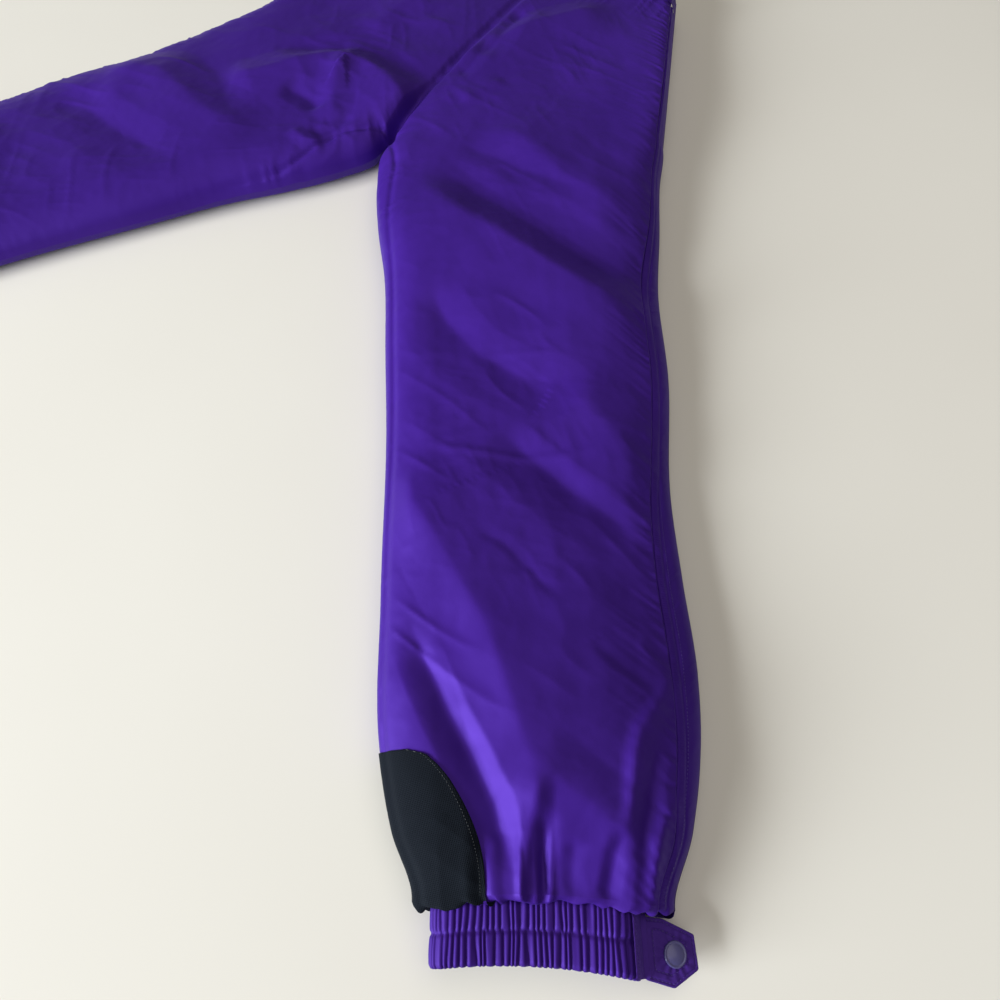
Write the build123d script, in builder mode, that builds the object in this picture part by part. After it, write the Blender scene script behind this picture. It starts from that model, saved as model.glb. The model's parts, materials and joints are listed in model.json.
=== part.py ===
from build123d import *
import os
from math import cos, radians, sin

os.makedirs("parts", exist_ok=True)

# The pants lie flat on their back: front up (+Z), waist towards +Y, wearer's left leg at +X.
# The origin is the middle of the surface they lie on.

# Whole garment
crotch_y = 98.65          # crotch point, measured from the middle of the overall length
leg_spread = 32.0         # each leg's angle from straight down
flat_height = 48.0        # padded thickness lying flat
edge_radius = 12.0        # rounding where front and back meet
seam_height = 24.0        # height of the seam between the front and back panels

# Cloth layers, outside in
shell_thickness = 1.5
wadding_thickness = 4.5
lining_thickness = 1.0

# Hip: each leg swings in the plane of the cloth about a pivot on its own centre line
hip_radius = 141.0
hip_gap = 0.6             # clearance round the pivot disc
hip_x = hip_radius + 0.5
hip_y = crotch_y + 25.0
hip_stop_angle = 47.0     # the upper panels end here beside the disc, so a leg can swing out
fork_y = crotch_y + 70.0  # the upper panels end here between the legs

# Waist
waist_y = crotch_y + 385.0
waist_half_width = 144.0
waistband_width = 38.0
waistband_wall = 3.5
side_slope = 23.0         # the sides widen by this angle from the waist down

# Leg: (distance below the hip pivot, reach of the inner edge, reach of the outer edge)
leg_profile = (
    (-160, 141.0, 141.0),
    (-80, 141.0, 141.0),
    (0, 141.0, 141.0),
    (62, 136.5, 139.5),
    (211, 119.5, 131.5),
    (296, 114.5, 125.5),
    (426, 108.5, 123.5),
    (548, 100.5, 121.5),
    (598, 88.5, 110.5),
    (640, 72.5, 93.5),
)
knee_drop = 296.0
ankle_drop = 640.0
knee_gap = 0.2            # each side of the knee fold

# Gathered cuff
cuff_drop = 678.0
cuff_height = 34.0
cuff_inner = -61.0
cuff_outer = 69.0
cuff_casing = 1.2         # cloth each side of the elastic
cuff_elastic = 1.6
cuff_hem = 4.0            # folded edge below the elastic

# Waist elastic, inside the back waistband
band_casing = 1.2
band_elastic = 1.1
band_hem = 4.0

# Side zip and the placket over it, measured in from the outer edge
zip_inset = 20.0
tape_width = 14.0
tape_thickness = 0.6
coil_width = 6.0
coil_height = 1.8
tape_start = 1.0          # the zip starts this far below the waist edge
coil_start = 4.5          # the coil starts below the top stop
stop_drop = 2.8           # middle of the top stop, below the waist edge
stop_length = 2.0
stop_width = 7.5
placket_near = 8.5
placket_far = 30.0
placket_foot = 4.0
placket_thickness = 1.2
leg_placket_room = 2.8    # height under the placket along the leg
hip_placket_room = 7.2    # the slider passes under the placket here

# Slider and pull
slider_length = 12.0
slider_width = 9.4
slider_plate = 1.0
slider_clearance = 0.4
slider_drop = 12.0        # slider centre below the waist edge when closed
bridge_width = 2.4
bridge_length = 5.0
bridge_bar = 0.7
bridge_rise = 2.8
pull_length = 22.0
pull_width = 6.4
pull_thickness = 0.9
pull_bar = 1.2            # the bar of the pull that runs through the bridge
pull_drop = 11.0          # top of the pull, below the waist edge
pull_slot = 4.8

# Cuff tab and snap
tab_root = (70.4, -665.0, 20.0)   # middle of the tab's root, in the leg's own frame
tab_tilt = 15.0                   # the tab slopes down to the outside
tab_outline = ((0, 17), (14, 15), (33, 6), (32.5, -12), (16, -21), (0, -17))
tab_thickness = 1.6
under_tab_gap = 3.3
snap_spot = (20.5, -4.0)
cap_radius = 7.5
cap_height = 2.2
cap_rounding = 1.4
socket_radius = 6.0
socket_height = 2.4
socket_recess_radius = 3.1
socket_recess_depth = 1.8
stud_base_radius = 5.5
stud_base_height = 0.6
stud_knob_radius = 2.7
stud_knob_height = 1.8

# Scuff guard on the inner ankle
guard_thickness = 0.8
guard_top = -551.0
guard_corner = (-75.5, guard_top)
guard_bend = (-43.0, -580.0)
guard_edge = (-27.5, -622.0)

shell_in = shell_thickness
wadding_in = shell_in + wadding_thickness
lining_in = wadding_in + lining_thickness
lean = radians(leg_spread)
slope = radians(side_slope)
far = 400.0

# Frames: one along the left leg with its origin at the hip pivot, one along the left side edge
leg_plane = Plane(origin=(hip_x, hip_y, 0), x_dir=(cos(lean), sin(lean), 0), z_dir=(0, 0, 1))
side_plane = Plane(
    origin=(waist_half_width, waist_y, 0), x_dir=(cos(slope), sin(slope), 0), z_dir=(0, 0, 1)
)


def save(piece, name):
    """Write one piece under its own name."""
    piece.part.label = name
    export_step(piece.part, f"parts/{name}.step")


def save_pair(piece, name):
    """Write a left piece and its mirror image on the right."""
    save(piece, f"left_{name}")
    with BuildPart() as twin:
        mirror(piece.part, about=Plane.YZ)
    save(twin, f"right_{name}")


# ---------------------------------------------------------------- shapes shared by the layers


def leg_edge(side, inset):
    """Points along the leg's inner or outer edge, moved in by the inset."""
    if side == "outer":
        return [(outer - inset, -drop) for drop, inner, outer in leg_profile]
    return [(inset - inner, -drop) for drop, inner, outer in leg_profile]


def leg_pillow(inset):
    """The whole left leg as a flat pillow, its surface moved in by the inset."""
    outer = leg_edge("outer", inset)
    inner = leg_edge("inner", inset)
    with BuildPart() as pillow:
        with BuildSketch(leg_plane.offset(inset)):
            with BuildLine():
                Spline(*outer)
                Line(outer[-1], inner[-1])
                Spline(*inner)
                Line(inner[0], outer[0])
            make_face()
        extrude(amount=flat_height - 2 * inset)
        fillet(pillow.edges().filter_by(GeomType.BSPLINE), edge_radius - inset)
    return pillow.part


def hip_pillow(inset):
    """The seat and waist as a flat pillow with straight sides, its surface moved in by the inset."""
    length = waist_y - hip_y
    top = waist_half_width - inset / cos(slope)
    bottom = top + length * sin(slope) / cos(slope)
    with BuildPart() as pillow:
        with BuildSketch(Plane.XY.offset(inset)):
            with BuildLine():
                Polyline((top, waist_y), (bottom, hip_y), (-bottom, hip_y), (-top, waist_y), close=True)
            make_face()
        extrude(amount=flat_height - 2 * inset)
        flat_edges = pillow.edges().filter_by(Plane.XY)
        fillet(flat_edges.filter_by(Axis.X, reverse=True), edge_radius - inset)
    return pillow.part


def thigh_space(low, high):
    """The room a thigh may fill: the hip disc and the leg above the knee."""
    with BuildPart() as space:
        with BuildSketch(leg_plane.offset(low)):
            Circle(hip_radius)
            with Locations((0, -knee_drop / 2 - knee_gap / 2)):
                Rectangle(2 * hip_radius + 20, knee_drop - knee_gap)
        extrude(amount=high - low)
    return space.part


def shin_space(low, high):
    """The room a shin may fill, from the knee to the cuff seam."""
    with BuildPart() as space:
        with BuildSketch(leg_plane.offset(low)):
            with Locations((0, -(knee_drop + ankle_drop + knee_gap) / 2)):
                Rectangle(far, ankle_drop - knee_drop - knee_gap)
        extrude(amount=high - low)
    return space.part


def hip_space(low, high, left, right):
    """The room the upper panels may fill, clear of both hip discs and of the legs' swing."""
    stop = radians(hip_stop_angle)
    with BuildPart() as space:
        with BuildSketch(Plane.XY.offset(low)):
            with Locations(((left + right) / 2, (fork_y + waist_y - waistband_width) / 2)):
                Rectangle(right - left, waist_y - waistband_width - fork_y)
            with Locations((hip_x, hip_y), (-hip_x, hip_y)):
                Circle(hip_radius + hip_gap, mode=Mode.SUBTRACT)
            for hand in (1, -1):
                with BuildLine():
                    Polyline(
                        (hand * hip_x, hip_y),
                        (hand * (hip_x + far * cos(stop)), hip_y + far * sin(stop)),
                        (hand * (hip_x + far), hip_y - far),
                        (hand * hip_x, hip_y - far),
                        close=True,
                    )
                make_face(mode=Mode.SUBTRACT)
        extrude(amount=high - low)
    return space.part


def between(outer, inner, space):
    """One cloth layer: what lies inside the outer pillow, outside the inner one, in a given room."""
    with BuildPart() as layer:
        add(outer)
        add(inner, mode=Mode.SUBTRACT)
        add(space, mode=Mode.INTERSECT)
    return layer


# ---------------------------------------------------------------- seat and hips


def make_hip_layers():
    """Four outer panels round the seat, then the wadding and the lining."""
    outside = hip_pillow(0)
    under_shell = hip_pillow(shell_in)
    under_wadding = hip_pillow(wadding_in)
    inside = hip_pillow(lining_in)
    for hand, left, right in (("left", 0, far), ("right", -far, 0)):
        front = hip_space(seam_height, flat_height, left, right)
        back = hip_space(0, seam_height, left, right)
        save(between(outside, under_shell, front), f"{hand}_front_panel_hip")
        save(between(outside, under_shell, back), f"{hand}_back_panel_hip")
    whole = hip_space(0, flat_height, -far, far)
    save(between(under_shell, under_wadding, whole), "hip_wadding")
    save(between(under_wadding, inside, whole), "hip_lining")


def make_waistband():
    """A plain front band, and a back band with the elastic lying in its folded casing."""
    low = waist_y - waistband_width

    def band_slab(bottom, top, under, over):
        with BuildPart() as slab:
            with BuildSketch(Plane.XY.offset(under)):
                with Locations((0, (bottom + top) / 2)):
                    Rectangle(2 * far, top - bottom)
            extrude(amount=over - under)
        return slab.part

    outside = hip_pillow(0)
    inside = hip_pillow(waistband_wall)
    front = between(outside, inside, band_slab(low, waist_y, seam_height, flat_height))
    save(front, "front_waistband")
    elastic_in = band_casing + band_elastic
    elastic = between(
        hip_pillow(band_casing),
        hip_pillow(elastic_in),
        band_slab(low, waist_y - band_hem, 0, seam_height),
    )
    save(elastic, "waist_elastic")
    with BuildPart() as back:
        add(outside)
        add(inside, mode=Mode.SUBTRACT)
        add(band_slab(low, waist_y, 0, seam_height), mode=Mode.INTERSECT)
        add(elastic.part, mode=Mode.SUBTRACT)
    save(back, "back_waistband")


# ---------------------------------------------------------------- legs


def guard_space():
    """The room of the scuff guard: a patch with one big rounded corner, right through the leg."""
    foot = (guard_edge[0], -ankle_drop)
    with BuildPart() as space:
        with BuildSketch(leg_plane):
            with BuildLine():
                Line((-far, guard_top), guard_corner)
                ThreePointArc(guard_corner, guard_bend, guard_edge)
                Polyline(guard_edge, foot, (-far, -ankle_drop), (-far, guard_top))
            make_face()
        extrude(amount=flat_height)
    return space.part


def make_leg_layers():
    """Front and back panels, wadding and lining of a thigh and of a shin, and the scuff guard."""
    outside = leg_pillow(0)
    under_guard = leg_pillow(guard_thickness)
    under_shell = leg_pillow(shell_in)
    under_wadding = leg_pillow(wadding_in)
    inside = leg_pillow(lining_in)
    guard = between(outside, under_guard, guard_space())
    save_pair(guard, "scuff_guard")
    for body, room in (("thigh", thigh_space), ("shin", shin_space)):
        for face, low, high in (("front", seam_height, flat_height), ("back", 0, seam_height)):
            with BuildPart() as panel:
                add(outside)
                add(under_shell, mode=Mode.SUBTRACT)
                add(room(low, high), mode=Mode.INTERSECT)
                if body == "shin":
                    add(guard.part, mode=Mode.SUBTRACT)
            save_pair(panel, f"{face}_panel_{body}")
        whole = room(0, flat_height)
        save_pair(between(under_shell, under_wadding, whole), f"{body}_wadding")
        save_pair(between(under_wadding, inside, whole), f"{body}_lining")


# ---------------------------------------------------------------- side zips and plackets


def leg_strip(near, distant, low, high, room):
    """A strip along the leg's outer edge, between two distances in from it."""
    first = leg_edge("outer", near)
    second = leg_edge("outer", distant)
    with BuildPart() as strip:
        with BuildSketch(leg_plane.offset(low)):
            with BuildLine():
                Spline(*first)
                Line(first[-1], second[-1])
                Spline(*second)
                Line(second[0], first[0])
            make_face()
        extrude(amount=high - low)
        add(room(low, high), mode=Mode.INTERSECT)
    return strip.part


def hip_strip(near, distant, low, high, top):
    """A straight strip along the side of the hip, starting a distance below the waist edge."""
    with BuildPart() as strip:
        with BuildSketch(side_plane.offset(low)):
            with Locations((-(near + distant) / 2, -top - far / 2)):
                Rectangle(distant - near, far)
        extrude(amount=high - low)
        add(hip_and_band_space(low, high), mode=Mode.INTERSECT)
    return strip.part


def hip_and_band_space(low, high):
    """The left half of the hip's room together with the waistband's."""
    with BuildPart() as space:
        add(hip_space(low, high, 0, far))
        with BuildSketch(Plane.XY.offset(low)):
            with Locations((far / 2, waist_y - waistband_width / 2)):
                Rectangle(far, waistband_width)
        extrude(amount=high - low)
    return space.part


def make_zip_and_placket(name, strip, room_height):
    """Tapes with the coil on them, and the placket standing on its sewn foot over both."""
    tape_near = zip_inset - tape_width / 2
    tape_far = zip_inset + tape_width / 2
    coil_near = zip_inset - coil_width / 2
    coil_far = zip_inset + coil_width / 2
    tape_top = flat_height + tape_thickness
    with BuildPart() as chain:
        add(strip(tape_near, tape_far, flat_height, tape_top, tape_start))
        add(strip(coil_near, coil_far, tape_top, tape_top + coil_height, coil_start))
    save_pair(chain, f"side_zip_{name}")
    roof = flat_height + room_height
    below_band = waistband_width
    with BuildPart() as placket:
        add(strip(placket_near, placket_near + placket_foot, flat_height, roof, below_band))
        add(strip(placket_near, placket_far, roof, roof + placket_thickness, below_band))
    save_pair(placket, f"side_placket_{name}")


def make_side_closures():
    """The zip and placket of each side, in three lengths: hip, thigh and shin."""
    make_zip_and_placket("hip", hip_strip, hip_placket_room)
    for body, room in (("thigh", thigh_space), ("shin", shin_space)):

        def strip(near, distant, low, high, top, room=room):
            return leg_strip(near, distant, low, high, room)

        make_zip_and_placket(body, strip, leg_placket_room)
    with BuildPart() as stops:
        with BuildSketch(side_plane.offset(flat_height + tape_thickness)):
            with Locations((-zip_inset, -stop_drop)):
                Rectangle(stop_width, stop_length)
        extrude(amount=coil_height)
    with BuildPart() as both_stops:
        add(stops.part)
        mirror(stops.part, about=Plane.YZ)
    save(both_stops, "side_zip_top_stops")


def make_sliders():
    """A slider straddling the coil with a bridge on top, and a pull looped through the bridge."""
    tape_top = flat_height + tape_thickness
    plate_low = tape_top + coil_height + slider_clearance
    plate_top = plate_low + slider_plate
    flange_low = tape_top + slider_clearance
    channel = coil_width + 2 * slider_clearance
    centre = (-zip_inset, -slider_drop)
    with BuildPart() as slider:
        with BuildSketch(side_plane.offset(flange_low)):
            with Locations(centre):
                RectangleRounded(slider_width, slider_length, 2)
        extrude(amount=plate_top - flange_low)
        with BuildSketch(side_plane.offset(flange_low)):
            with Locations(centre):
                Rectangle(channel, slider_length + 2)
        extrude(amount=plate_low - flange_low, mode=Mode.SUBTRACT)
        with BuildSketch(side_plane.offset(plate_top)):
            with Locations(centre):
                Rectangle(bridge_width, bridge_length)
        extrude(amount=bridge_rise)
        with BuildSketch(side_plane.offset(plate_top)):
            with Locations(centre):
                Rectangle(bridge_width + 2, bridge_length - 2 * bridge_bar)
        extrude(amount=bridge_rise - bridge_bar, mode=Mode.SUBTRACT)
    save_pair(slider, "zip_slider")

    pull_low = plate_top + (bridge_rise - bridge_bar - pull_thickness) / 2
    with BuildPart() as pull:
        with BuildSketch(side_plane.offset(pull_low)):
            with Locations((-zip_inset, -pull_drop - pull_length / 2)):
                RectangleRounded(pull_width, pull_length, 2.4)
            with Locations((-zip_inset, -pull_drop - pull_bar - pull_slot / 2)):
                Rectangle(bridge_width + 1.0, pull_slot, mode=Mode.SUBTRACT)
        extrude(amount=pull_thickness)
    save_pair(pull, "zip_pull")


# ---------------------------------------------------------------- cuffs


def cuff_pillow(inset):
    """The cuff as a flattened tube, its surface moved in by the inset, open at both ends."""
    with BuildPart() as pillow:
        with BuildSketch(leg_plane.offset(inset)):
            with Locations(((cuff_inner + cuff_outer) / 2, -(ankle_drop + cuff_drop) / 2)):
                Rectangle(cuff_outer - cuff_inner - 2 * inset, cuff_drop - ankle_drop)
        extrude(amount=cuff_height - 2 * inset)
        long_edges = pillow.edges().filter_by(Plane.XY)
        fillet(long_edges.filter_by(Axis((0, 0, 0), leg_plane.y_dir)), cuff_height / 2 - inset - 0.2)
    return pillow.part


def make_cuffs():
    """A folded cloth casing, open along the ankle seam, with the elastic band inside it."""
    layers = [cuff_pillow(0), cuff_pillow(cuff_casing)]
    layers.append(cuff_pillow(cuff_casing + cuff_elastic))
    layers.append(cuff_pillow(2 * cuff_casing + cuff_elastic))
    with BuildPart() as above_hem:
        with BuildSketch(leg_plane):
            with Locations((0, -(ankle_drop + cuff_drop - cuff_hem) / 2)):
                Rectangle(far, cuff_drop - cuff_hem - ankle_drop)
        extrude(amount=cuff_height)
    elastic = between(layers[1], layers[2], above_hem.part)
    save_pair(elastic, "cuff_elastic")
    with BuildPart() as casing:
        add(layers[0])
        add(layers[3], mode=Mode.SUBTRACT)
        add(elastic.part, mode=Mode.SUBTRACT)
    save_pair(casing, "cuff_casing")


def make_cuff_closure():
    """The snap tab, the tab under it, and the cap, socket and stud that hold them together."""
    tab_plane = Plane(leg_plane.location * Location(tab_root, (0, tab_tilt, 0)))
    under_plane = tab_plane.offset(-under_tab_gap - tab_thickness)

    def tab_on(plane, root):
        with BuildPart() as tab:
            with BuildSketch(plane):
                with BuildLine():
                    Polyline(*tab_outline, close=True)
                make_face()
                with Locations((root / 2, 0)):
                    Rectangle(root, 60, mode=Mode.SUBTRACT)
            extrude(amount=tab_thickness)
        return tab

    save_pair(tab_on(tab_plane, 0.4), "cuff_tab")
    save_pair(tab_on(under_plane, 0.2), "cuff_under_tab")
    with BuildPart() as cap:
        with BuildSketch(tab_plane.offset(tab_thickness)):
            with Locations(snap_spot):
                Circle(cap_radius)
        extrude(amount=cap_height)
        fillet(cap.edges().group_by(Axis(tab_plane.origin, tab_plane.z_dir))[-1], cap_rounding)
    save_pair(cap, "cuff_snap_cap")
    with BuildPart() as socket:
        with BuildSketch(tab_plane.offset(-socket_height)):
            with Locations(snap_spot):
                Circle(socket_radius)
        extrude(amount=socket_height)
        with BuildSketch(tab_plane.offset(-socket_height)):
            with Locations(snap_spot):
                Circle(socket_recess_radius)
        extrude(amount=socket_recess_depth, mode=Mode.SUBTRACT)
    save_pair(socket, "cuff_snap_socket")
    with BuildPart() as stud:
        with BuildSketch(under_plane.offset(tab_thickness)):
            with Locations(snap_spot):
                Circle(stud_base_radius)
        extrude(amount=stud_base_height)
        with BuildSketch(under_plane.offset(tab_thickness + stud_base_height)):
            with Locations(snap_spot):
                Circle(stud_knob_radius)
        extrude(amount=stud_knob_height)
    save_pair(stud, "cuff_snap_stud")


make_hip_layers()
make_waistband()
make_leg_layers()
make_side_closures()
make_sliders()
make_cuffs()
make_cuff_closure()
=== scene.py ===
import bpy
import json
import numpy as np
from math import cos, pi, radians, sin
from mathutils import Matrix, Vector


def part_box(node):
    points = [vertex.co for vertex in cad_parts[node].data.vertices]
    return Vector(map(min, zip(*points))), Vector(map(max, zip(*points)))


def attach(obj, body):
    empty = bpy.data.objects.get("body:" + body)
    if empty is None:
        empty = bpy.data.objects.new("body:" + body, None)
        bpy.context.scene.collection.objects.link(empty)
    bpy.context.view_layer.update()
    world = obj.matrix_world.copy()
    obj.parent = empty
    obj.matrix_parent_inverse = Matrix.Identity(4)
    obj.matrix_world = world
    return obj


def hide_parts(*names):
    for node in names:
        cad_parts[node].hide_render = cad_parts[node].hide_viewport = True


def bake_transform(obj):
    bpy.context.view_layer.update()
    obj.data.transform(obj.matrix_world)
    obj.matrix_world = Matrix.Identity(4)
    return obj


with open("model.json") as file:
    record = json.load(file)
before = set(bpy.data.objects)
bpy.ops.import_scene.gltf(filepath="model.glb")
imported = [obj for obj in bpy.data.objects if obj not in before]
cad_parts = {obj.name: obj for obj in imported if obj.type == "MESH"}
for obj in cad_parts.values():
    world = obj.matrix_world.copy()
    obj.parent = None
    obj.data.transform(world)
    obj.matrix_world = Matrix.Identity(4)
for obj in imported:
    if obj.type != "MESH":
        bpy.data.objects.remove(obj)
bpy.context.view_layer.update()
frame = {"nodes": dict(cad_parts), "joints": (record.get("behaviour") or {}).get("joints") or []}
MM = 0.001

# ---------------------------------------------------------------- the garment's own frame (millimetres)
# A point on a leg is given by how far out from the leg's centre line it is and how far below the hip
# pivot ("drop"). Everything is worked out for the wearer's left side and mirrored for the right.

joints = {j["name"]: j for j in frame["joints"]}
pivot = np.array(joints["left_hip_swing"]["pos_m"][:2]) / MM
knee = np.array(joints["left_knee_fold"]["pos_m"][:2]) / MM
knee_drop = float(np.linalg.norm(knee - pivot))
down = (knee - pivot) / knee_drop
outward = np.array((-down[1], down[0]))
down3, outward3 = np.append(down, 0.0), np.append(outward, 0.0)
fork_below_pivot = 25.0
fork = np.array((0.0, pivot[1] - fork_below_pivot))
band_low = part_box("front_waistband")[0].y / MM
band_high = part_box("front_waistband")[1].y / MM
waist_half = 144.0
side_slope = radians(23.0)
rise = band_low - fork[1]

fork_drop = -53.0                  # drop at which the two legs part
waist_drop = fork_drop - rise
split_drop = 190.0                 # mid thigh: upper pieces end and lower pieces start
ankle_drop = 640.0
under_band = 1.03                  # the shell runs on a little under the waistband, as a share of the rise

# (drop, distance) pairs along the leg
inner_reach = ((-53, 131.5), (-35, 140), (0, 142), (62, 136.5), (121, 126.5), (211, 119.5), (296, 113),
               (441, 107.5), (548, 100.5), (598, 88.5), (640, 72.5))
outer_reach = ((-53, 153), (0, 145), (62, 139.5), (137, 131.5), (231, 131.5), (351, 121.5), (422, 123.5),
               (496, 126.5), (545, 122.5), (598, 110.5), (640, 93.5))
fold_inset = ((-315, 10), (-53, 12), (57, 14), (140, 20.5), (342, 20), (395, 24), (472, 25.5), (545, 22),
              (582, 19.5), (606, 15), (640, 14))
thickness = ((-315, 47), (-53, 47), (62, 46), (211, 45), (296, 42), (422, 42), (540, 45), (570, 46),
             (600, 43), (628, 40), (640, 38.5))
inner_edge_height = ((-315, 20), (-53, 20), (100, 19), (548, 18), (640, 18))
outer_edge_height = ((-315, 22), (-53, 20), (62, 14), (296, 12), (548, 13), (640, 16))
outer_rounding = ((-315, 9), (-53, 12), (62, 34), (296, 42), (548, 40), (640, 22))
left_seam_inset = ((-53, 5), (-25, 18), (0, 21), (24, 18), (58, 13), (103, 10), (211, 9), (400, 6), (640, 5))
right_seam_inset = ((-53, 9), (-40, 18), (-14, 25), (15, 20), (54, 8), (100, 4), (640, 3.5))
centre_level = ((-315, 0.95), (-180, 0.9), (-110, 0.74), (-80, 0.5), (-53, 0.0))
placket_lift = ((-400, 0.6), (-53, 0.3), (70, 0.0))


def curve(x, pairs):
    """A smooth curve through (position, value) pairs, held level beyond both ends."""
    at = np.array([p[0] for p in pairs], float)
    value = np.array([p[1] for p in pairs], float)
    slope = np.gradient(value, at)
    slope[0] = slope[-1] = 0.0
    x = np.clip(np.asarray(x, float), at[0], at[-1])
    k = np.clip(np.searchsorted(at, x, side="right") - 1, 0, len(at) - 2)
    h = at[k + 1] - at[k]
    t = (x - at[k]) / h
    a = (1 + 2 * t) * (1 - t) ** 2 * value[k] + t * (1 - t) ** 2 * h * slope[k]
    b = t * t * (3 - 2 * t) * value[k + 1] + t * t * (t - 1) * h * slope[k + 1]
    return a + b


def smooth(x, low, high):
    t = np.clip((np.asarray(x, float) - low) / (high - low), 0, 1)
    return t * t * (3 - 2 * t)


def noise(x, y, seed):
    """Smooth repeatable noise between -1 and 1, one cell per unit."""
    table = np.random.default_rng(seed).uniform(-1, 1, (64, 64))
    xi, yi = np.floor(x).astype(int), np.floor(y).astype(int)
    fx, fy = x - xi, y - yi
    fx, fy = fx * fx * (3 - 2 * fx), fy * fy * (3 - 2 * fy)
    a, b = table[xi % 64, yi % 64], table[(xi + 1) % 64, yi % 64]
    c, d = table[xi % 64, (yi + 1) % 64], table[(xi + 1) % 64, (yi + 1) % 64]
    return (a * (1 - fx) + b * fx) * (1 - fy) + (c * (1 - fx) + d * fx) * fy


def ripples(x, y, seed):
    """Irregular rounded ridges with narrow valleys between them, from -1 to 1."""
    return 1 - 2 * np.abs(noise(x, y, seed)) ** 0.7


def on_leg(out, drop):
    return pivot + np.multiply.outer(out, outward) + np.multiply.outer(drop, down)


def leg_place(xy):
    """(out, drop) of points given in the garment's frame."""
    return (xy - pivot) @ outward, (xy - pivot) @ down


def edges(drop):
    """Both ends of the row across the left side at each drop: inner edge or centre seam, and outer edge."""
    drop = np.asarray(drop, float)
    inner = on_leg(-curve(drop, inner_reach), drop)
    outer = on_leg(curve(drop, outer_reach), drop)
    up = np.clip((fork_drop - drop) / rise, 0, under_band)[:, None]
    hip_corner = on_leg(np.array([outer_reach[0][1]]), np.array([fork_drop]))[0]
    waist_corner = np.array((waist_half + (band_high - band_low) * np.tan(side_slope), band_low))
    high = drop < fork_drop
    inner[high] = (np.array((0.0, fork[1])) + up * np.array((0.0, rise)))[high]
    outer[high] = (hip_corner + up * (waist_corner - hip_corner))[high]
    return inner, outer


# ---------------------------------------------------------------- folds in the front of the cloth
# Each fold: its line as (out, drop) points, how wide it is on its inner and outer sides, and its height.

left_folds = (
    (((-110, 20), (-88, 36), (-23, 92), (32, 138), (71, 166), (104, 222)), 62, 24, 9.0),
    (((-88, -2), (-75, 8), (-35, 42), (23, 88), (68, 124), (104, 158)), 20, 26, -6.0),
    (((-40, -58), (5, -34), (44, 19), (92, 52), (118, 68)), 22, 30, 5.0),
    (((-66, -34), (-15, -4), (34, 25), (70, 40)), 12, 16, -2.6),
    (((-85, 150), (-63, 195), (-38, 228), (2, 252), (29, 258), (46, 276)), 24, 15, -6.0),
    (((-95, -148), (-82, -155), (-25, -190), (30, -222), (84, -244), (120, -258)), 36, 17, 8.5),
    (((-40, -160), (-22, -186), (-1, -231), (14, -262)), 12, 10, -4.5),
    (((-64, -128), (-44, -160), (-28, -205)), 8, 10, -3.5),
    (((-60, -92), (-34, -112), (-12, -128)), 8, 10, 2.2),
    (((-43, 231), (-7, 230), (33, 230)), 2.2, 2.2, 0.6),
    (((-22, 304), (8, 330), (36, 356), (62, 375), (92, 400)), 22, 11, -5.0),
    (((34, 262), (62, 285), (78, 320), (96, 360)), 30, 24, 4.5),
    (((-81, 317), (-40, 325), (0, 330), (41, 327)), 2.6, 2.6, 0.8),
    (((12, 296), (24, 312), (34, 326)), 4, 4, -0.7),
    (((-39, 392), (-16, 405), (8, 429), (28, 453)), 3.2, 4.5, -0.75),
    (((45, 477), (68, 498), (91, 511)), 3.2, 4.5, -0.8),
    (((-100, 318), (-92, 340), (-81, 371), (-61, 405), (-42, 439), (-27, 465), (-16, 496), (-6, 528),
      (3, 555), (8, 572), (12, 592)), 20, 70, 9.5),
    (((7, 560), (5, 590), (-1, 612), (-4, 640), (-6, 660)), 13, 6, 4.5),
    (((-86, 455), (-80, 470), (-66, 500), (-53, 527), (-35, 559), (-22, 585), (-14, 618), (-10, 640)),
     11, 8, -6.5),
    (((12, 584), (9, 600), (9, 620), (12, 645)), 5, 6, -3.2),
    (((-4, 550), (2, 556), (24, 574), (48, 590), (63, 604), (78, 630)), 28, 15, 5.0),
    (((30, 604), (27, 622), (28, 648)), 4, 5, -1.6),
    (((62, 598), (54, 614), (47, 645)), 4, 5, -2.6),
    (((104, 498), (93, 517), (76, 538), (70, 555), (66, 585), (60, 606)), 4, 9, 3.6),
    (((70, 612), (66, 628), (63, 648)), 5, 5, 2.4),
    (((90, 545), (80, 575), (75, 600), (70, 640)), 7, 5, -3.0),
    (((100, 575), (88, 596), (80, 618), (76, 648)), 6, 5, 3.2),
    (((-20, 600), (-24, 622), (-22, 648)), 4, 4, 1.8),
)
right_folds = (
    (((2, 80), (0, 50), (-5, 20), (-8, -17), (-16, -57), (-24, -72)), 20, 34, 9.5),
    (((-6, -44), (-20, -60), (-47, -74), (-78, -82), (-112, -88), (-130, -92)), 22, 34, 11.0),
    (((-14, -54), (-57, -27), (-88, -12), (-104, -6)), 14, 12, 4.0),
    (((28, 3), (6, -60), (-20, -88), (-62, -106), (-90, -118)), 12, 14, -4.5),
    (((-30, 20), (-56, 2), (-80, -4)), 12, 10, -4.0),
    (((-100, -30), (-110, -8), (-108, 20)), 6, 5, -2.4),
    (((-128, 10), (-112, 26), (-92, 34)), 6, 6, 2.2),
    (((15, -96), (44, -140), (60, -190)), 22, 18, 4.0),
    (((-95, 70), (-20, 110), (50, 130), (100, 190)), 40, 26, 7.0),
    (((-80, 150), (-20, 190), (40, 215), (80, 260)), 26, 18, -5.0),
    (((60, 300), (20, 340), (-30, 372), (-80, 396)), 26, 18, 5.0),
    (((70, 350), (10, 392), (-50, 420)), 14, 16, -4.5),
) + left_folds[15:]


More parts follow.
